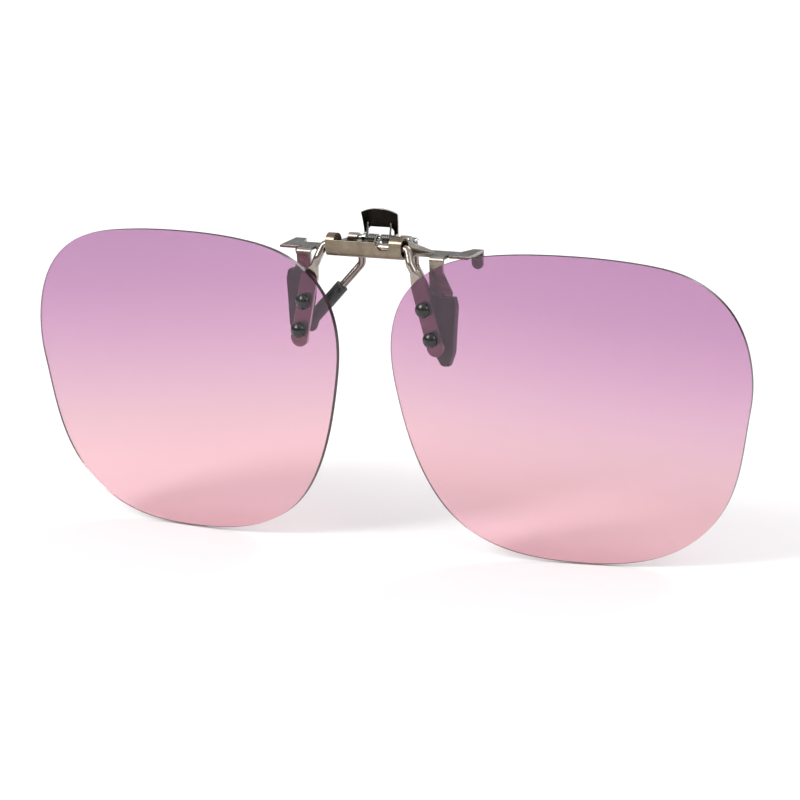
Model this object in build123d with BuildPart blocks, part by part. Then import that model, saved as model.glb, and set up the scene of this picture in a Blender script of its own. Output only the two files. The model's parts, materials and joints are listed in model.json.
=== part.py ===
from build123d import *
from math import atan2, cos, degrees, radians, sin, sqrt
import os

# Clip-on flip-up sun lenses for spectacles, in millimetres.
# +X is the wearer's left, +Y points back to the wearer's face, +Z is up.
# The origin is on the middle plane, where the rear faces of the front pads (y = 0) meet the level of the
# arms' undersides (z = 0): the corner that the spectacles' rims sit in.
# Pieces for the wearer's left are drawn at +X and the right ones are mirrored from them.

# ---- driving dimensions ----
# lenses
LENS_THICK = 0.8
LENS_BASE_R = 290.0          # radius of the front surface, gently curved
LENS_WRAP = 6.0              # degrees that the temple side is swept back
LENS_CENTRE = (35.27, -3.19, -21.7)
# right half of the outline is the temple side; u is sideways and v is up from the lens centre
LENS_OUTLINE = [
    (30.0, 0.0), (30.3, 8.2), (27.5, 15.7), (21.2, 20.9), (13.4, 22.95), (0.0, 23.95),
    (-13.6, 23.3), (-21.5, 21.2), (-27.8, 15.9), (-30.25, 8.1), (-29.5, 0.0), (-24.9, -14.4),
    (-20.4, -20.4), (-14.0, -24.2), (0.0, -26.4), (14.3, -24.7), (21.0, -21.0), (25.9, -14.9),
]
# lens screws: two in each lens, on a line that leans outwards going down
SCREWS = [(10.95, -7.6), (12.1, -12.45)]
SCREW_HEAD_R = 1.26
SCREW_HEAD_H = 0.65
SCREW_R = 0.5
BUSH_R = 0.75                # clear bush in the lens hole
BUSH_FLANGE_R = 1.25
NUT_R = 1.05
NUT_H = 0.36
# hinge wire, one piece from lens to lens
WIRE_R = 0.7
HINGE_Y = -1.95
HINGE_Z = 1.70
PLATE_Y = -2.93              # mid-thickness of the flattened ends
PLATE_T = 0.66
PLATE_W = 3.0
PLATE_END_Z = -15.4
# stamped base
SHEET = 0.45
SHEET_EDGE_R = 0.07          # rounding of the long edges of the sheet parts
ARM_FRONT = 0.45
LEDGE_FRONT = -0.5           # middle of the base, where the bracket's straps stand
LEDGE_END = 7.2
ARM_REAR = 3.5
ARM_END = 17.3
HEAD_REAR = 5.4
TAB_FRONT = -1.05            # front tabs that carry the pads
TAB_IN = 10.9
TAB_OUT = 13.4
END_TAB = (15.3, 17.3)
END_TAB_DROP = 2.7
# folded hinge bracket
BRACKET_T = 0.3
BRACKET_HALF = 6.9
BRACKET_TOP = 2.7
STRAP_IN_LEFT = 4.7
STRAP_IN_RIGHT = 5.4
# squeeze lever and its axle
AXLE_Y = 3.0
AXLE_Z = 1.9
AXLE_R = 0.4
AXLE_OUT = 0.15              # how far the axle's ends stand out of the barrels
BARREL_R = 0.75
BARREL_SPAN = (3.9, 5.6)
LEVER_T = 0.4
LEVER_TOP = 6.9
LEVER_LEG = (2.35, 3.15)
LEVER_EDGE_R = 0.12
RUNNING = 0.04               # radial clearance of what turns
# lever spring
SPRING_WIRE_R = 0.16
COIL_R = 0.62
COIL_PITCH = 0.345
COIL_START = 0.40
# rear hooks and their boots
HOOK_R = 0.63
BOOT_R = 1.1
HOOK_TOP = (4.9, 5.3, 1.3)
HOOK_KNEE = (4.9, 5.4, -3.0)
HOOK_ANKLE = (12.4, 1.8, -11.75)
HOOK_TOE = (12.75, 1.5, -12.9)
BOOT_ALONG = 0.41            # share of the slanted run that is bare wire
# front pads: how far each has been pushed down its tab
PAD_THICK = 1.6
PAD_TOP_LEFT = -5.8
PAD_TOP_RIGHT = -3.0
PAD_LEAN = 3.0               # degrees that both pads sit askew, toes towards the wearer's right

os.makedirs("parts", exist_ok=True)


def save(shape, name):
    """Label one finished piece and write its STEP file."""
    shape.label = name
    export_step(shape, f"parts/{name}.step")


def save_pair(shape, name):
    """Write a piece drawn at +X as the wearer's left one, and its mirror image as the right one."""
    save(mirror(shape, about=Plane.YZ), f"{name}_right")
    save(shape, f"{name}_left")


def facing_front(y):
    """Plane across the line of sight at depth y, with local x along +X and local y along +Z."""
    return Plane(origin=(0, y, 0), x_dir=(1, 0, 0), z_dir=(0, -1, 0))


def side_on(x):
    """Plane across X at x, with local x along +Y and local y along +Z."""
    return Plane(origin=(x, 0, 0), x_dir=(0, 1, 0), z_dir=(1, 0, 0))


def lens_front(x, z):
    """Depth y of a lens's front surface at a point, taking the tangent plane plus the sag of the sphere."""
    across = (x - LENS_CENTRE[0]) / cos(radians(LENS_WRAP))
    sag = (across**2 + (z - LENS_CENTRE[2]) ** 2) / (2 * LENS_BASE_R)
    return LENS_CENTRE[1] + across * sin(radians(LENS_WRAP)) + sag


# ---- lenses ----
wrap = radians(LENS_WRAP)
lens_plane = Plane(origin=LENS_CENTRE, x_dir=(cos(wrap), sin(wrap), 0), z_dir=(sin(wrap), -cos(wrap), 0))
ball_centre = lens_plane.from_local_coords(Vector(0, 0, -LENS_BASE_R))
with BuildPart() as lens:
    with BuildSketch(lens_plane):
        with BuildLine():
            Spline(*LENS_OUTLINE, periodic=True)
        make_face()
    extrude(amount=8, both=True)
    with Locations(ball_centre):
        Sphere(LENS_BASE_R, mode=Mode.INTERSECT)
        Sphere(LENS_BASE_R - LENS_THICK, mode=Mode.SUBTRACT)
    with BuildSketch(facing_front(0)):
        with Locations(*SCREWS):
            Circle(BUSH_R)
    extrude(amount=12, mode=Mode.SUBTRACT)
save_pair(lens.part, "lens")

# ---- hinge wire: a straight middle that turns in the bracket, two bent arms and two flattened ends ----
lean = atan2(SCREWS[1][0] - SCREWS[0][0], SCREWS[0][1] - SCREWS[1][1])


def plate_x(z):
    """Sideways place of the flattened end's centre line at height z, through both screws."""
    return SCREWS[0][0] + (SCREWS[0][1] - z) * sin(lean) / cos(lean)


def across_plate(z):
    """Section plane of the flattened end at height z, facing down its centre line."""
    return Plane(
        origin=(plate_x(z), PLATE_Y, z), x_dir=(cos(lean), 0, sin(lean)), z_dir=(sin(lean), 0, -cos(lean))
    )


SHOULDER = (7.6, HINGE_Y, HINGE_Z)
ELBOW = (8.45, PLATE_Y, -0.45)
NECK = (9.05, PLATE_Y, -1.65)
NECK_DIR = (NECK[0] - ELBOW[0], 0, NECK[2] - ELBOW[2])
PLATE_START_Z = -3.3
with BuildPart() as hinge_wire:
    with BuildLine():
        FilletPolyline((0, HINGE_Y, HINGE_Z), SHOULDER, ELBOW, NECK, radius=[0.95, 0.95])
    with BuildSketch(side_on(0)):
        with Locations((HINGE_Y, HINGE_Z)):
            Circle(WIRE_R)
    sweep()
    with BuildSketch(Plane(origin=NECK, x_dir=(-NECK_DIR[2], 0, NECK_DIR[0]), z_dir=NECK_DIR)):
        RectangleRounded(2 * WIRE_R, 2 * WIRE_R, WIRE_R - 0.02)
    with BuildSketch(across_plate(PLATE_START_Z)):
        RectangleRounded(PLATE_W, PLATE_T, 0.2)
    loft()
    with BuildSketch(across_plate(PLATE_START_Z)):
        RectangleRounded(PLATE_W, PLATE_T, 0.2)
    extrude(amount=(PLATE_START_Z - PLATE_END_Z) / cos(lean) - PLATE_W / 2)
    end_z = PLATE_END_Z + PLATE_W / 2
    with BuildSketch(facing_front(PLATE_Y)):
        with Locations((plate_x(end_z), end_z)):
            Circle(PLATE_W / 2)
    extrude(amount=PLATE_T / 2, both=True)
    with BuildSketch(facing_front(0)):
        with Locations(*SCREWS):
            Circle(SCREW_R)
    extrude(amount=6, mode=Mode.SUBTRACT)
    mirror(about=Plane.YZ)
save(hinge_wire.part, "hinge_wire")

# ---- lens screws, clear bushes and nuts ----
plate_front = PLATE_Y - PLATE_T / 2
plate_rear = PLATE_Y + PLATE_T / 2
dome_r = (SCREW_HEAD_R**2 + SCREW_HEAD_H**2) / (2 * SCREW_HEAD_H)
with BuildPart() as lens_screws:
    for x, z in SCREWS:
        seat = lens_front(x, z) - 0.06
        with BuildSketch(Plane(origin=(x, seat, z), x_dir=(1, 0, 0), z_dir=(0, 0, 1))):
            with BuildLine():
                Line((0, -SCREW_HEAD_H), (0, plate_rear + NUT_H - seat))
                Line((0, plate_rear + NUT_H - seat), (SCREW_R, plate_rear + NUT_H - seat))
                Line((SCREW_R, plate_rear + NUT_H - seat), (SCREW_R, 0))
                Line((SCREW_R, 0), (SCREW_HEAD_R, 0))
                RadiusArc((SCREW_HEAD_R, 0), (0, -SCREW_HEAD_H), dome_r)
            make_face()
        revolve(axis=Axis((x, seat, z), (0, 1, 0)))
    mirror(about=Plane.YZ)
save(lens_screws.part, "lens_screws")

with BuildPart() as lens_bushes:
    for x, z in SCREWS:
        rear = lens_front(x, z) + LENS_THICK + 0.06
        with BuildSketch(facing_front(plate_front)):
            with Locations((x, z)):
                Circle(BUSH_R)
        extrude(amount=plate_front - lens_front(x, z))
        with BuildSketch(facing_front(plate_front)):
            with Locations((x, z)):
                Circle(BUSH_FLANGE_R)
        extrude(amount=plate_front - rear)
        with BuildSketch(facing_front(0)):
            with Locations((x, z)):
                Circle(SCREW_R)
        extrude(amount=6, mode=Mode.SUBTRACT)
    mirror(about=Plane.YZ)
save(lens_bushes.part, "lens_bushes")

with BuildPart() as lens_nuts:
    with BuildSketch(facing_front(plate_rear + NUT_H)):
        with Locations(*SCREWS):
            Circle(NUT_R)
            Circle(SCREW_R, mode=Mode.SUBTRACT)
    extrude(amount=NUT_H)
    chamfer(lens_nuts.faces().sort_by(Axis.Y)[-1].outer_wire().edges(), 0.12)
    mirror(about=Plane.YZ)
save(lens_nuts.part, "lens_nuts")

# ---- folded hinge bracket: front plate, gutter under the wire, and two straps over it ----
gutter_r = WIRE_R + 0.05 + BRACKET_T / 2
gutter_z = 0.95
wall_y = HINGE_Y - gutter_r
STRAP_FOOT_Y = -0.2
STRAP_CROWN = (-1.52, 3.4)
with BuildPart() as hinge_bracket:
    with BuildSketch(side_on(-BRACKET_HALF)):
        with BuildLine():
            Line((wall_y, BRACKET_TOP), (wall_y, gutter_z))
            ThreePointArc((wall_y, gutter_z), (HINGE_Y, gutter_z - gutter_r), (HINGE_Y + gutter_r, gutter_z))
            Line((HINGE_Y + gutter_r, gutter_z), (HINGE_Y + gutter_r, gutter_z + 0.35))
        trace(line_width=BRACKET_T)
    extrude(amount=2 * BRACKET_HALF)
    for start, end in ((-BRACKET_HALF, -STRAP_IN_RIGHT), (STRAP_IN_LEFT, BRACKET_HALF)):
        with BuildSketch(side_on(start)):
            with BuildLine():
                Line((wall_y, gutter_z), (wall_y, 1.9))
                ThreePointArc((wall_y, 1.9), STRAP_CROWN, (STRAP_FOOT_Y, 1.9))
                Line((STRAP_FOOT_Y, 1.9), (STRAP_FOOT_Y, SHEET))
            trace(line_width=BRACKET_T)
        extrude(amount=end - start)
    # the scalloped cut-out in the top edge of the front plate
    with BuildSketch(facing_front(wall_y)):
        with BuildLine():
            Polyline((2.3, BRACKET_TOP + 1), (2.3, 2.1), (3.0, 1.45), (4.3, 1.45), (STRAP_IN_LEFT, 2.0),
                     (STRAP_IN_LEFT, BRACKET_TOP + 1), close=True)
        make_face()
    extrude(amount=BRACKET_T, both=True, mode=Mode.SUBTRACT)
    fillet([edge for edge in hinge_bracket.edges().filter_by(Axis.X) if edge.length > 3], SHEET_EDGE_R)
save(hinge_bracket.part, "hinge_bracket")

# ---- click spring: a bowed strip in the gutter that presses the wire up ----
SPRING_STRIP_T = 0.2
SPRING_STRIP_HALF = 4.6
with BuildPart() as click_spring:
    with BuildSketch(facing_front(HINGE_Y + 0.45)):
        with BuildLine():
            ThreePointArc(
                (-SPRING_STRIP_HALF, 0.5), (0, HINGE_Z - WIRE_R - 0.03 - SPRING_STRIP_T / 2), (SPRING_STRIP_HALF, 0.5)
            )
        trace(line_width=SPRING_STRIP_T)
    extrude(amount=0.9)
save(click_spring.part, "click_spring")

# ---- stamped base: arms with broad heads, end tabs, front tabs, axle barrels and stiffening ribs ----
with BuildPart() as base_plate:
    with BuildSketch():
        with BuildLine():
            Polyline(
                (0, LEDGE_FRONT), (LEDGE_END, LEDGE_FRONT), (LEDGE_END, ARM_FRONT),
                (TAB_IN - 0.3, ARM_FRONT), (TAB_IN - 0.3, ARM_FRONT + 0.5), (TAB_IN, ARM_FRONT + 0.5),
                (TAB_IN, 0), (TAB_OUT, 0), (TAB_OUT, ARM_FRONT + 0.5), (TAB_OUT + 0.3, ARM_FRONT + 0.5),
                (TAB_OUT + 0.3, ARM_FRONT), (ARM_END, ARM_FRONT), (ARM_END, HEAD_REAR), (END_TAB[0], HEAD_REAR),
                (END_TAB[0] - 0.9, ARM_REAR), (BARREL_SPAN[1], ARM_REAR), (BARREL_SPAN[1], AXLE_Y + BARREL_R),
                (0, AXLE_Y + BARREL_R), close=True,
            )
        make_face()
    extrude(amount=SHEET)
    # front tab: runs forward, then down inside the pad
    with BuildSketch(side_on(TAB_IN)):
        with BuildLine():
            bend = FilletPolyline(
                (ARM_FRONT + 0.5, SHEET / 2), (TAB_FRONT + SHEET / 2, SHEET / 2), (TAB_FRONT + SHEET / 2, -1.0),
                radius=0.5,
            )
        trace(line_width=SHEET)
    extrude(amount=TAB_OUT - TAB_IN)
    with BuildSketch(facing_front(TAB_FRONT + SHEET)) as tab_face:
        with BuildLine():
            Polyline(
                (TAB_IN, -0.7), (TAB_OUT, -0.7), (TAB_OUT, -2.1), (14.9, -5.3), (14.7, -6.1), (14.2, -9.5),
                (13.5, -14.0), (12.5, -14.0), (11.6, -10.5), (TAB_IN, -7.0), close=True,
            )
        make_face()
        fillet(tab_face.vertices().sort_by(Axis.Z)[:2], 0.45)
    extrude(amount=SHEET)
    # end tab: folded down from the rear edge of the head, with a round end
    tab_half = (END_TAB[1] - END_TAB[0]) / 2
    with BuildSketch(facing_front(HEAD_REAR)):
        with Locations(((END_TAB[0] + END_TAB[1]) / 2, (SHEET - END_TAB_DROP + tab_half) / 2)):
            Rectangle(2 * tab_half, SHEET + END_TAB_DROP - tab_half)
        with Locations(((END_TAB[0] + END_TAB[1]) / 2, tab_half - END_TAB_DROP)):
            Circle(tab_half)
    extrude(amount=-SHEET)
    # axle barrel, rolled from a wall at the rear edge
    with BuildSketch(side_on(BARREL_SPAN[0])):
        with Locations((AXLE_Y, AXLE_Z)):
            Circle(BARREL_R)
        with Locations((AXLE_Y + BARREL_R / 2 + 0.175, AXLE_Z / 2)):
            Rectangle(0.4, AXLE_Z)
    extrude(amount=BARREL_SPAN[1] - BARREL_SPAN[0])
    # pressed rib that tapers from the barrel down into the arm
    for x, half_width, height in ((BARREL_SPAN[1] - 0.1, 1.1, 1.6), (10.3, 0.35, 0.1)):
        with BuildSketch(side_on(x)):
            with Locations((2.3, SHEET - 0.05)):
                Ellipse(half_width, height)
                Rectangle(4, 4, align=(Align.CENTER, Align.MAX), mode=Mode.SUBTRACT)
    loft()
    with BuildSketch(side_on(BARREL_SPAN[0])):
        with Locations((AXLE_Y, AXLE_Z)):
            Circle(AXLE_R)
    extrude(amount=BARREL_SPAN[1] - BARREL_SPAN[0] + AXLE_OUT, mode=Mode.SUBTRACT)
    mirror(about=Plane.YZ)
    long_edges = base_plate.edges().filter_by(Axis.X) + base_plate.edges().filter_by(Axis.Y)
    fillet([edge for edge in long_edges if edge.length > 3.5], SHEET_EDGE_R)
save(base_plate.part, "base_plate")

# ---- front pads: soft sleeves pushed over the front tabs ----
PAD_OUTLINE = [
    (10.2, 0.0), (15.05, 0.0), (15.4, -1.6), (15.15, -5.0), (14.9, -9.2), (14.1, -11.5), (12.7, -11.5),
    (11.6, -9.8), (10.6, -5.0),
]
PAD_CENTRE = (12.8, -5.7)
NUB_R = 0.26


def front_pad(sign, top):
    """One sleeve, closed at its toe, on the side given by sign and with its mouth at height top."""
    with BuildPart() as pad:
        with BuildSketch(facing_front(0)) as face:
            with BuildLine():
                Polyline(*[(sign * x, top + z) for x, z in PAD_OUTLINE], close=True)
            make_face()
            toe = face.vertices().sort_by(Axis.Z)
            fillet(toe[:2], 0.5)
            fillet(toe[-2:], 0.35)
        extrude(amount=PAD_THICK)
        fillet(pad.edges().filter_by(Plane.XZ), 0.28)
        with BuildSketch(facing_front(-PAD_THICK / 2 + NUB_R)):
            with Locations((sign * 13.1, top - 11.5)):
                Circle(NUB_R)
        extrude(amount=2 * NUB_R)
    middle = Axis((sign * PAD_CENTRE[0], 0, top + PAD_CENTRE[1]), (0, 1, 0))
    with BuildPart() as fitted:
        add(pad.part.rotate(middle, PAD_LEAN))
        add(base_plate.part, mode=Mode.SUBTRACT)
    return fitted.part


save(front_pad(1, PAD_TOP_LEFT), "front_pad_left")
save(front_pad(-1, PAD_TOP_RIGHT), "front_pad_right")

# ---- lever axle ----
with BuildPart() as lever_axle:
    with BuildSketch(side_on(-BARREL_SPAN[1] - AXLE_OUT)):
        with Locations((AXLE_Y, AXLE_Z)):
            Circle(AXLE_R)
    extrude(amount=2 * (BARREL_SPAN[1] + AXLE_OUT))
    chamfer(lever_axle.edges(), 0.08)
save(lever_axle.part, "lever_axle")

# ---- squeeze lever: curved thumb plate, two legs rolled round the axle, two heels for the hooks ----
HEEL_Z = HOOK_TOP[2]
with BuildPart() as lever:
    # side profile of the curved plate
    with BuildSketch(side_on(-4)):
        with BuildLine():
            ThreePointArc((AXLE_Y + BARREL_R - 0.2, AXLE_Z), (AXLE_Y + 0.50, 4.6), (AXLE_Y + 0.05, LEVER_TOP + 0.3))
        trace(line_width=LEVER_T)
    extrude(amount=8)
    # front outline of the plate, with the window between the legs
    with BuildSketch(facing_front(0)):
        with BuildLine():
            Polyline((LEVER_LEG[1], 0.9), (LEVER_LEG[1], 3.2), (3.4, 6.1))
            ThreePointArc((3.4, 6.1), (0, LEVER_TOP), (-3.4, 6.1))
            Polyline((-3.4, 6.1), (-LEVER_LEG[1], 3.2), (-LEVER_LEG[1], 0.9), (-LEVER_LEG[0], 0.9),
                     (-LEVER_LEG[0], 3.2), (-1.9, 3.7), (1.9, 3.7), (LEVER_LEG[0], 3.2), (LEVER_LEG[0], 0.9),
                     (LEVER_LEG[1], 0.9))
        make_face()
    extrude(amount=-8, mode=Mode.INTERSECT)
    for sign in (-1, 1):
        with BuildSketch(side_on(sign * (LEVER_LEG[0] + LEVER_LEG[1]) / 2)):
            with Locations((AXLE_Y, AXLE_Z)):
                Circle(BARREL_R)
        extrude(amount=(LEVER_LEG[1] - LEVER_LEG[0]) / 2, both=True)
        with BuildSketch(Plane.XY.offset(HEEL_Z)):
            with BuildLine():
                Polyline(*[(sign * x, y) for x, y in (
                    (LEVER_LEG[0], 3.1), (LEVER_LEG[1], 3.1), (LEVER_LEG[1], 4.3), (5.6, 4.3), (5.6, 6.0),
                    (4.2, 6.0), (LEVER_LEG[0], 4.6))], close=True)
            make_face()
        extrude(amount=LEVER_T)
    with BuildSketch(side_on(-4)):
        with Locations((AXLE_Y, AXLE_Z)):
            Circle(AXLE_R + RUNNING)
    extrude(amount=8, mode=Mode.SUBTRACT)
    fillet(lever.edges(), LEVER_EDGE_R)
save(lever.part, "lever")

# ---- lever spring: one wire with a coil each side of the middle, an end on the lever and a bar on the base ----
UP_LEG = radians(16.0)       # lean of the leg that rests on the lever
UP_LEG_LENGTH = 2.4
DOWN_LEG = radians(43.0)     # fall of the leg that rests on the base
turns = 4 + (270 + degrees(UP_LEG + DOWN_LEG)) / 360
coil_length = turns * COIL_PITCH
coil_plane = Plane(origin=(COIL_START, AXLE_Y, AXLE_Z), x_dir=(0, -sin(DOWN_LEG), cos(DOWN_LEG)), z_dir=(1, 0, 0))
coil_line = coil_plane * Helix(COIL_PITCH, coil_length, COIL_R, lefthand=True)
inner, outer = coil_line @ 0, coil_line @ 1
bar_z = SHEET + SPRING_WIRE_R + 0.03
bar_end = inner - Vector(0, cos(DOWN_LEG), sin(DOWN_LEG)) * (inner.Z - bar_z) / sin(DOWN_LEG)
leg_end = outer + Vector(0, sin(UP_LEG), cos(UP_LEG)) * UP_LEG_LENGTH
bar_middle = Vector(0, bar_end.Y, bar_end.Z)
with BuildPart() as lever_spring:
    with BuildSketch(Plane(origin=inner, z_dir=coil_line % 0)):
        Circle(SPRING_WIRE_R)
    sweep(path=coil_line, is_frenet=True)
    for start, end in ((inner, bar_end), (bar_end, bar_middle), (outer, leg_end)):
        with BuildSketch(Plane(origin=start, z_dir=end - start)):
            Circle(SPRING_WIRE_R)
        extrude(amount=(end - start).length)
    with Locations(bar_end, leg_end):
        Sphere(SPRING_WIRE_R)
    with Locations(inner, outer):
        Sphere(SPRING_WIRE_R + 0.01)
    mirror(about=Plane.YZ)
save(lever_spring.part, "lever_spring")

# ---- rear hooks and the boots on their feet ----
with BuildPart() as hook:
    with BuildLine():
        FilletPolyline(HOOK_TOP, HOOK_KNEE, HOOK_ANKLE, HOOK_TOE, radius=[1.3, 1.5])
    with BuildSketch(Plane(origin=HOOK_TOP, z_dir=Vector(*HOOK_KNEE) - Vector(*HOOK_TOP))):
        Circle(HOOK_R)
    sweep()
save_pair(hook.part, "hook_wire")

knee, ankle, toe_end = Vector(*HOOK_KNEE), Vector(*HOOK_ANKLE), Vector(*HOOK_TOE)
boot_mouth = knee + (ankle - knee) * BOOT_ALONG
with BuildPart() as boot:
    with BuildLine():
        FilletPolyline(boot_mouth, ankle, toe_end, radius=1.5)
    with BuildSketch(Plane(origin=boot_mouth, z_dir=ankle - knee)):
        Circle(BOOT_R)
    sweep()
    with Locations(toe_end):
        Sphere(BOOT_R)
    add(hook.part, mode=Mode.SUBTRACT)
save_pair(boot.part, "rear_boot")
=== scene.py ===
import json
from math import cos, radians, sin

import bpy
from mathutils import Matrix, Vector


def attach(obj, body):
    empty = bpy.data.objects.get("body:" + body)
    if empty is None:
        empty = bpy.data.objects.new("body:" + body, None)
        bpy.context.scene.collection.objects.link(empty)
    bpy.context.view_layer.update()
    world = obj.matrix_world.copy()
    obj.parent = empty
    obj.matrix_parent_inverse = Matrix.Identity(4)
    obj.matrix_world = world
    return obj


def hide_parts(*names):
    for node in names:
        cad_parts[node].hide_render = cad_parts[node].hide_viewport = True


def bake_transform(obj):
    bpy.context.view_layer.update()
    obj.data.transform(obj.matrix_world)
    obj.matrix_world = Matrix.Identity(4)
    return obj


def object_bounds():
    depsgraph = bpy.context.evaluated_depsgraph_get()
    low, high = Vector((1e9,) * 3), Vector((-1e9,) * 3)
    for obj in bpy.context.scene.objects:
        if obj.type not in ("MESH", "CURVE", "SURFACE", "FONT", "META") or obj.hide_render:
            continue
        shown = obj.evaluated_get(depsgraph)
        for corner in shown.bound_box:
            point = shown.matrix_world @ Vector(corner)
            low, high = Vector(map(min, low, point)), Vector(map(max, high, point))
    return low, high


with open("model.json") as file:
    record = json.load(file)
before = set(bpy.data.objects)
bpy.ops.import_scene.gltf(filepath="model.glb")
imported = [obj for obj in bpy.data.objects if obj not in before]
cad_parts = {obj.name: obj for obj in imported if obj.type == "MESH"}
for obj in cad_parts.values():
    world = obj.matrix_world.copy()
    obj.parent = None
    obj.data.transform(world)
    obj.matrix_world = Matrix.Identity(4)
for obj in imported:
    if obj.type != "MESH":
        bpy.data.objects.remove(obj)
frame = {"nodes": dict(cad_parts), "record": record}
cad_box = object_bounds()

# ---- camera ----
AZIMUTH = 28.83
ELEVATION = 14.80
ROLL = -3.23
DISTANCE = 0.791
FOCAL = 221.0
SENSOR_WIDTH = 36.0
CLIP_START, CLIP_END = 0.01, 20.0
AIM = Vector((0.00574, -0.00387, -0.02290))

# ---- light ----
FLOOR_ALBEDO = 0.93
FLOOR_SIZE = 6.0
FLOOR_GAP = 0.0002           # how far the floor lies under the lenses
# world brightness against the height of the direction looked in, from straight down to straight up
WORLD_RAMP = [(0.0, 0.55), (0.50, 0.40), (0.56, 0.16), (0.62, 0.34), (0.72, 0.75), (1.0, 1.0)]
WORLD_STRENGTH = 0.85
# name, watts, size in metres, place, what it points at
LAMPS = [
    ("key", 7.4, 0.45, (-0.55, -0.75, 0.75), (0, 0, -0.02)),
    ("fill", 3.4, 0.60, (0.95, -0.35, 0.60), (0, 0, -0.02)),
    ("back", 3.8, 0.50, (0.15, 0.85, 0.65), (0, 0, -0.02)),
]

# ---- colours ----
# colour of the tinted lens sheet, by height in metres; the two lowest stops are also painted lighter,
# as painted light cancelling the shadow the lens casts on the floor behind it
TINT_AND_PAINTED_LIGHT = [
    (-0.0480, (0.890, 0.530, 0.590)),
    (-0.0440, (0.920, 0.565, 0.625)),
    (-0.0370, (0.864, 0.526, 0.572)),
    (-0.0290, (0.745, 0.466, 0.531)),
    (-0.0210, (0.652, 0.391, 0.510)),
    (-0.0130, (0.572, 0.311, 0.475)),
    (-0.0050, (0.486, 0.249, 0.423)),
    (0.0030, (0.445, 0.220, 0.395)),
]
TINT_SLANT = 0.12            # how much lower the same tint sits for each metre outwards
TINT_MIDDLE = 0.030          # distance from the mid-plane at which the heights above hold
RIM = (0.055, 0.018, 0.030)
NICKEL = (0.330, 0.282, 0.248)
HOOK_NICKEL = (0.255, 0.215, 0.197)
BRONZE = (0.215, 0.172, 0.128)
# tan painted on the base's front-facing faces as painted light
FRONT_LIT_TAN = (0.270, 0.215, 0.175)
GUNMETAL = (0.330, 0.318, 0.303)
BLACK_NICKEL = (0.027, 0.025, 0.022)
# pale colour painted on rims and cut side edges as a painted highlight
PAINTED_RIM_HIGHLIGHT = (0.60, 0.59, 0.57)
BRIGHT = (0.290, 0.282, 0.268)
SILICONE = (0.060, 0.064, 0.063)
SCREW_BLACK = (0.006, 0.006, 0.006)

# ---- grain: how far it is drawn out along each axis ----
EVEN = (1, 1, 1)
ALONG_X = (7, 1, 1)
ALONG_Z = (1, 1, 7)

# ---- silicone mouldings ----
MM_PER_M = 1000
SILICONE_VOXEL = 0.085       # remesh size in mm
SILICONE_ROUNDS = 6          # rounds of smoothing
# the wearer's left boot, in metres, and the dent near its mouth
BOOT_MOUTH = (0.007975, 0.003924, -0.006588)
BOOT_ANKLE = (0.0124, 0.0018, -0.01175)
BOOT_RADIUS = 0.0011
DENT_HALF_LENGTH = 0.00052
DENT_HALF_WIDTH = 0.00034
DENT_DEPTH = 0.00028
DENT_WALL = 0.6              # under 1 makes the dent's wall steep and its floor flat
DENT_ALONG = 0.0010          # how far the dent lies from the mouth
DENT_FACES = (-0.45, -0.85, 0.25)


def aim_camera():
    """A long lens in front, to the wearer's left and a little above, rolled slightly."""
    a, e = radians(AZIMUTH), radians(ELEVATION)
    back = Vector((sin(a) * cos(e), -cos(a) * cos(e), sin(e)))
    data = bpy.data.cameras.new("camera")
    data.lens = FOCAL
    data.sensor_width = SENSOR_WIDTH
    data.clip_start, data.clip_end = CLIP_START, CLIP_END
    camera = bpy.data.objects.new("camera", data)
    bpy.context.scene.collection.objects.link(camera)
    level = (-back).to_track_quat("-Z", "Y").to_matrix().to_4x4()
    turn = level @ Matrix.Rotation(radians(ROLL), 4, "Z")
    camera.matrix_world = Matrix.Translation(AIM + back * DISTANCE) @ turn
    bpy.context.scene.camera = camera


def scaled(colour, factor):
    return tuple(min(1.0, c * factor) for c in colour)


def fill_ramp(ramp, stops):
    """Sets a colour ramp's stops, given as pairs of position and colour."""
    elements = ramp.color_ramp.elements
    while len(elements) < len(stops):
        elements.new(0.5)
    for element, (position, colour) in zip(elements, stops):
        element.position = position
        element.color = (*colour, 1.0)


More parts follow.
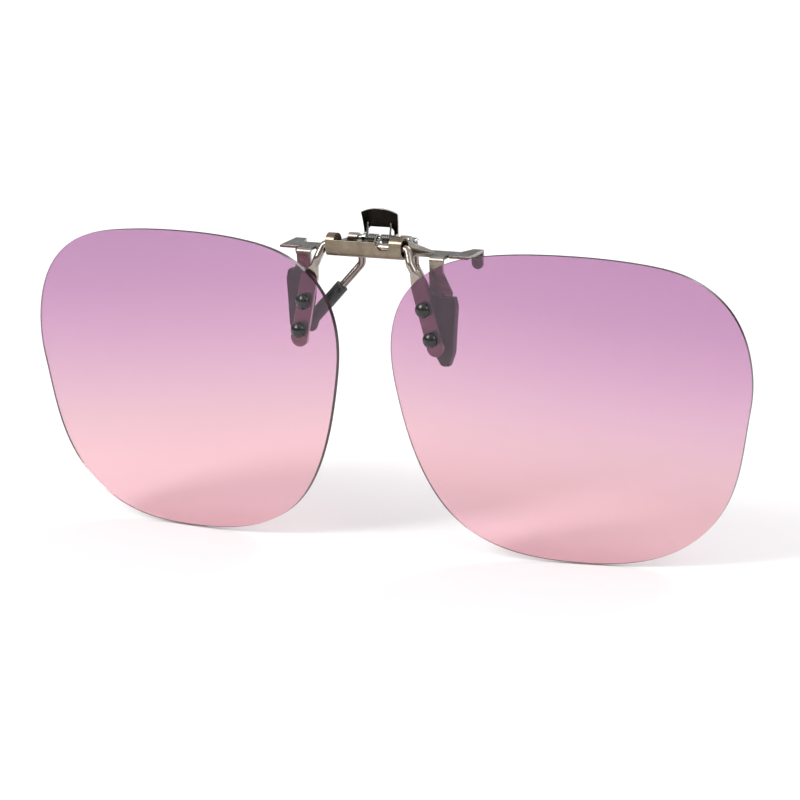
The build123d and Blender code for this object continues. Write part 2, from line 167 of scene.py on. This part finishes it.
class Shade:
    """A material's node tree, with short ways to add nodes to it."""

    def __init__(self, name):
        self.material = bpy.data.materials.new(name)
        self.material.use_nodes = True
        self.tree = self.material.node_tree
        self.shader = self.tree.nodes["Principled BSDF"]
        self.coords = self.node("ShaderNodeTexCoord")

    def node(self, kind, **inputs):
        node = self.tree.nodes.new(kind)
        for key, value in inputs.items():
            self.put(node.inputs[key.replace("_", " ")], value)
        return node

    def put(self, socket, value):
        if isinstance(value, bpy.types.NodeSocket):
            self.tree.links.new(value, socket)
        elif isinstance(value, tuple) and len(value) == 3 and socket.type == "RGBA":
            socket.default_value = (*value, 1.0)
        else:
            socket.default_value = value

    def set(self, **inputs):
        for key, value in inputs.items():
            self.put(self.shader.inputs[key.replace("_", " ")], value)

    def colour(self):
        """The socket that the base colour comes from so far."""
        return self.shader.inputs["Base Color"].links[0].from_socket

    def normal(self, axis):
        """The surface normal's part along one of the object's own axes."""
        split = self.node("ShaderNodeSeparateXYZ", Vector=self.coords.outputs["Normal"])
        return split.outputs[axis]

    def noise(self, size, stretch=EVEN, detail=3.0, roughness=0.5):
        """Noise whose blobs are about this many metres across, stretched by each factor."""
        mapping = self.node("ShaderNodeMapping", Vector=self.coords.outputs["Object"])
        mapping.inputs["Scale"].default_value = [1 / (size * s) for s in stretch]
        texture = self.node("ShaderNodeTexNoise", Vector=mapping.outputs["Vector"])
        texture.inputs["Scale"].default_value = 1.0
        texture.inputs["Detail"].default_value = detail
        texture.inputs["Roughness"].default_value = roughness
        return texture.outputs["Fac"]

    def spread(self, value, low, high, to_low=0.0, to_high=1.0):
        """The value's range from low to high, carried over to another range."""
        node = self.node("ShaderNodeMapRange", Value=value)
        node.inputs["From Min"].default_value = low
        node.inputs["From Max"].default_value = high
        node.inputs["To Min"].default_value = to_low
        node.inputs["To Max"].default_value = to_high
        return node.outputs["Result"]

    def mix(self, share, first, second):
        node = self.tree.nodes.new("ShaderNodeMix")
        node.data_type = "RGBA"
        self.put(node.inputs["Factor"], share)
        for socket, value in zip([s for s in node.inputs if s.type == "RGBA"], (first, second)):
            self.put(socket, value)
        return [s for s in node.outputs if s.type == "RGBA"][0]

    def maths(self, operation, first, second=None):
        node = self.tree.nodes.new("ShaderNodeMath")
        node.operation = operation
        self.put(node.inputs[0], first)
        if second is not None:
            self.put(node.inputs[1], second)
        return node.outputs[0]

    def bump(self, height, depth):
        """Surface relief of this many metres."""
        node = self.node("ShaderNodeBump", Height=height)
        node.inputs["Distance"].default_value = depth
        node.inputs["Strength"].default_value = 1.0
        self.set(Normal=node.outputs["Normal"])


def metal(name, colour, roughness, grain, stain=0.25, relief=3e-6, size=0.00016):
    """Plated sheet or wire: fine drawn or rolled grain, faint stains and uneven polish."""
    s = Shade(name)
    streaks = s.noise(size, grain, 4.0, 0.65)
    patches = s.noise(0.0022, EVEN, 3.0, 0.55)
    pits = s.noise(0.00025, EVEN, 2.0, 0.5)
    base = s.mix(s.spread(patches, 0.35, 0.65), scaled(colour, 1 - stain), scaled(colour, 1 + stain))
    specks = s.spread(pits, 0.66, 0.76, 0.0, 0.55)
    base = s.mix(specks, base, scaled(colour, 0.35))
    s.set(Base_Color=base, Metallic=1.0)
    s.set(Roughness=s.spread(streaks, 0.3, 0.7, roughness * 0.75, roughness * 1.3))
    s.bump(s.maths("ADD", streaks, s.maths("MULTIPLY", pits, 0.6)), relief)
    return s


def front_facing_painted_light(s, front, share):
    """Paints what faces the front in a warmer tan tone than the rest of the same metal: painted light
    by facing.
    """
    facing = s.spread(s.normal("Y"), -0.55, -0.85, 0.0, share)
    patches = s.spread(s.noise(0.0022, EVEN, 3.0, 0.55), 0.35, 0.65)
    tone = s.mix(patches, scaled(front, 0.82), scaled(front, 1.15))
    s.set(Base_Color=s.mix(facing, s.colour(), tone))


def bright_edges(s, edge, rim_end, face_start):
    """Paints a highlight on the rounded rims of a plate whose faces look front and back."""
    facing = s.spread(s.maths("ABSOLUTE", s.normal("Y")), rim_end, face_start)
    s.set(Base_Color=s.mix(facing, edge, s.colour()))


def bright_sides(s, edge, share):
    """Paints a highlight on the cut side edges of the flattened ends, whose normals run sideways."""
    sideways = s.spread(s.maths("ABSOLUTE", s.normal("X")), 0.80, 0.95, 0.0, share)
    s.set(Base_Color=s.mix(sideways, s.colour(), edge))


def silicone(name, colour):
    """Soft matt rubber with a moulded grain, dust and faint bloom."""
    s = Shade(name)
    grain = s.noise(0.00012, EVEN, 4.0, 0.6)
    bloom = s.noise(0.0018, EVEN, 3.0, 0.55)
    dust = s.noise(0.0003, EVEN, 1.0, 0.4)
    base = s.mix(s.spread(bloom, 0.35, 0.7), scaled(colour, 0.75), scaled(colour, 1.35))
    base = s.mix(s.spread(dust, 0.70, 0.80, 0.0, 0.5), base, (0.20, 0.20, 0.19))
    s.set(Base_Color=base, Roughness=s.spread(bloom, 0.3, 0.7, 0.30, 0.50))
    s.shader.inputs["Specular IOR Level"].default_value = 0.45
    s.bump(grain, 1.2e-5)
    return s.material


def lens_material():
    """Clear tinted sheet: mauve above fading to pink below, with a dark unpolished rim."""
    s = Shade("lens_tint_look")
    place = s.node("ShaderNodeSeparateXYZ", Vector=s.coords.outputs["Object"])
    outward = s.maths("ABSOLUTE", place.outputs["X"])
    raised = s.maths("MULTIPLY", s.maths("SUBTRACT", outward, TINT_MIDDLE), TINT_SLANT)
    height = s.maths("ADD", place.outputs["Z"], raised)
    low, high = TINT_AND_PAINTED_LIGHT[0][0], TINT_AND_PAINTED_LIGHT[-1][0]
    # the lowest tint stops also carry painted light against the floor shadow behind the lens
    ramp = s.node("ShaderNodeValToRGB", Fac=s.spread(height, low, high))
    fill_ramp(ramp, [((z - low) / (high - low), colour) for z, colour in TINT_AND_PAINTED_LIGHT])
    rim = s.spread(s.maths("ABSOLUTE", s.normal("Y")), 0.75, 0.45)
    haze = s.noise(0.006, EVEN, 3.0, 0.5)
    s.set(Base_Color=s.mix(rim, ramp.outputs["Color"], RIM))
    s.set(Transmission_Weight=s.spread(rim, 0.0, 1.0, 1.0, 0.35))
    face_roughness = s.spread(haze, 0.45, 0.75, 0.0, 0.012)
    rim_roughness = s.spread(rim, 0.0, 1.0, 0.0, 0.25)
    s.set(Roughness=s.maths("ADD", face_roughness, rim_roughness))
    s.shader.inputs["IOR"].default_value = 1.50
    return s.material


def clear_material():
    """Clear moulded bush, slightly yellowed and misty."""
    s = Shade("clear_bush_look")
    mist = s.noise(0.0006, EVEN, 3.0, 0.5)
    s.set(Base_Color=s.mix(s.spread(mist, 0.35, 0.7), (0.93, 0.92, 0.90), (0.84, 0.82, 0.78)))
    s.set(Transmission_Weight=0.9, Roughness=s.spread(mist, 0.3, 0.7, 0.05, 0.16))
    s.shader.inputs["IOR"].default_value = 1.49
    return s.material


def screw_material():
    """Glossy black screws with rubbed spots."""
    s = Shade("black_screw_look")
    worn = s.noise(0.0004, EVEN, 3.0, 0.6)
    base = s.mix(s.spread(worn, 0.60, 0.78), SCREW_BLACK, (0.075, 0.072, 0.068))
    s.set(Base_Color=base, Roughness=s.spread(worn, 0.3, 0.7, 0.20, 0.36))
    s.shader.inputs["Coat Weight"].default_value = 0.3
    s.shader.inputs["Coat Roughness"].default_value = 0.12
    s.bump(worn, 1.5e-5)
    return s.material


def lever_material():
    s = metal("lever_gunmetal_look", BLACK_NICKEL, 0.20, EVEN, 0.3, 2e-6)
    # painted highlight: the lever's rims are coloured pale where the faces turn away from front and
    # back
    bright_edges(s, PAINTED_RIM_HIGHLIGHT, 0.72, 0.93)
    return s.material


def wire_material():
    s = metal("hinge_wire_look", NICKEL, 0.19, ALONG_X, 0.18)
    # painted highlight on the sideways-facing cut edges of the wire's flattened ends
    bright_sides(s, PAINTED_RIM_HIGHLIGHT, 0.8)
    return s.material


def base_material():
    s = metal("base_steel_look", GUNMETAL, 0.30, (6, 1, 1))
    # painted light: the front-facing faces of the base get a warmer tan colour than its other faces
    front_facing_painted_light(s, FRONT_LIT_TAN, 0.85)
    return s.material


def dress():
    """Gives every CAD node its detailed material."""
    looks = {
        "lens_tint": lens_material(),
        "clear_bush": clear_material(),
        "black_screw": screw_material(),
        "lever_gunmetal": lever_material(),
        "base_steel": base_material(),
        "hinge_wire": wire_material(),
        "bracket_steel": metal("bracket_steel_look", BRONZE, 0.26, ALONG_X, 0.18).material,
        "hook_steel": metal("hook_steel_look", HOOK_NICKEL, 0.20, ALONG_Z, 0.18).material,
        "axle_steel": metal("axle_steel_look", BRIGHT, 0.20, ALONG_X).material,
        "spring_steel": metal("spring_steel_look", BRIGHT, 0.14, EVEN, 0.15).material,
        "nut_steel": metal("nut_steel_look", GUNMETAL, 0.30, EVEN).material,
        "pad_silicone": silicone("pad_silicone_look", SILICONE),
        "boot_silicone": silicone("boot_silicone_look", SILICONE),
    }
    slots = {part["node"]: part["material_slot"] for part in frame["record"]["subparts"]}
    for name, node in frame["nodes"].items():
        node.data.materials.clear()
        node.data.materials.append(looks[slots[name]])


def copy_of(name, suffix):
    """A new piece with a CAD node's mesh and material, which stands for that node."""
    source = frame["nodes"][name]
    piece = bpy.data.objects.new(name + suffix, source.data.copy())
    bpy.context.scene.collection.objects.link(piece)
    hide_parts(name)
    return piece


def press_dent(mesh, centre, along, inward):
    """Pushes an oval dent into a mesh."""
    for vertex in mesh.vertices:
        away = vertex.co - centre
        lengthways = away.dot(along)
        sideways = (away - along * lengthways).length
        reach = (lengthways / DENT_HALF_LENGTH) ** 2 + (sideways / DENT_HALF_WIDTH) ** 2
        if reach < 1:
            vertex.co += inward * DENT_DEPTH * (1 - reach) ** DENT_WALL


def mould(name, body, dents=()):
    """Remakes a silicone piece with the soft rounded edges of a moulding, and its dents."""
    piece = copy_of(name, "_moulded")
    material = piece.data.materials[0]
    piece.data.transform(Matrix.Scale(MM_PER_M, 4))
    remesh = piece.modifiers.new("remesh", "REMESH")
    remesh.mode = "VOXEL"
    remesh.voxel_size = SILICONE_VOXEL
    smooth = piece.modifiers.new("smooth", "SMOOTH")
    smooth.factor = 0.5
    smooth.iterations = SILICONE_ROUNDS
    mesh = bpy.data.meshes.new_from_object(piece.evaluated_get(bpy.context.evaluated_depsgraph_get()))
    piece.modifiers.clear()
    piece.data = mesh
    mesh.transform(Matrix.Scale(1 / MM_PER_M, 4))
    for dent in dents:
        press_dent(mesh, *dent)
    mesh.materials.clear()
    mesh.materials.append(material)
    mesh.shade_smooth()
    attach(piece, body)


def boot_dent(side):
    """Place, direction and inward normal of the dent near the mouth of one boot."""
    mouth, ankle = Vector(BOOT_MOUTH), Vector(BOOT_ANKLE)
    along = (ankle - mouth).normalized()
    out = Vector(DENT_FACES) - along * Vector(DENT_FACES).dot(along)
    out.normalize()
    centre = mouth + along * DENT_ALONG + out * BOOT_RADIUS
    flip = Vector((side, 1, 1))
    return centre * flip, along * flip, -out * flip


def mould_silicone():
    for side, name in ((1, "left"), (-1, "right")):
        mould(f"front_pad_{name}", "clip")
        mould(f"rear_boot_{name}", "squeeze_lever", [boot_dent(side)])


def wind_spring():
    """Copies the lever's spring into a new piece, with its placement baked into its mesh."""
    piece = copy_of("lever_spring", "_wound")
    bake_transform(piece)


def build_stage():
    """A pale floor just under the lenses."""
    low = cad_box[0].z
    bpy.ops.mesh.primitive_plane_add(size=FLOOR_SIZE, location=(0, 0, low - FLOOR_GAP))
    floor = bpy.context.object
    floor.name = "floor"
    s = Shade("floor_look")
    s.set(Base_Color=(FLOOR_ALBEDO, FLOOR_ALBEDO, FLOOR_ALBEDO), Roughness=0.9)
    s.shader.inputs["Specular IOR Level"].default_value = 0.0
    floor.data.materials.append(s.material)


def build_world():
    """A pale room with a dim band at eye level."""
    scene = bpy.context.scene
    scene.view_settings.view_transform = "Standard"
    world = bpy.data.worlds.new("world")
    scene.world = world
    world.use_nodes = True
    tree = world.node_tree
    background = tree.nodes["Background"]
    direction = tree.nodes.new("ShaderNodeTexCoord")
    split = tree.nodes.new("ShaderNodeSeparateXYZ")
    level = tree.nodes.new("ShaderNodeMapRange")
    level.inputs["From Min"].default_value = -1.0
    ramp = tree.nodes.new("ShaderNodeValToRGB")
    fill_ramp(ramp, [(place, (value, value, value)) for place, value in WORLD_RAMP])
    tree.links.new(direction.outputs["Generated"], split.inputs["Vector"])
    tree.links.new(split.outputs["Z"], level.inputs["Value"])
    tree.links.new(level.outputs["Result"], ramp.inputs["Fac"])
    tree.links.new(ramp.outputs["Color"], background.inputs["Color"])
    background.inputs["Strength"].default_value = WORLD_STRENGTH


def build_lamps():
    """Large soft lamps, each pointed at its target."""
    for name, watts, size, place, target in LAMPS:
        data = bpy.data.lights.new(name, "AREA")
        data.energy = watts
        data.size = size
        lamp = bpy.data.objects.new(name, data)
        bpy.context.scene.collection.objects.link(lamp)
        lamp.location = place
        lamp.rotation_euler = (Vector(target) - Vector(place)).to_track_quat("-Z", "Y").to_euler()


aim_camera()
dress()
mould_silicone()
wind_spring()
build_stage()
build_world()
build_lamps()
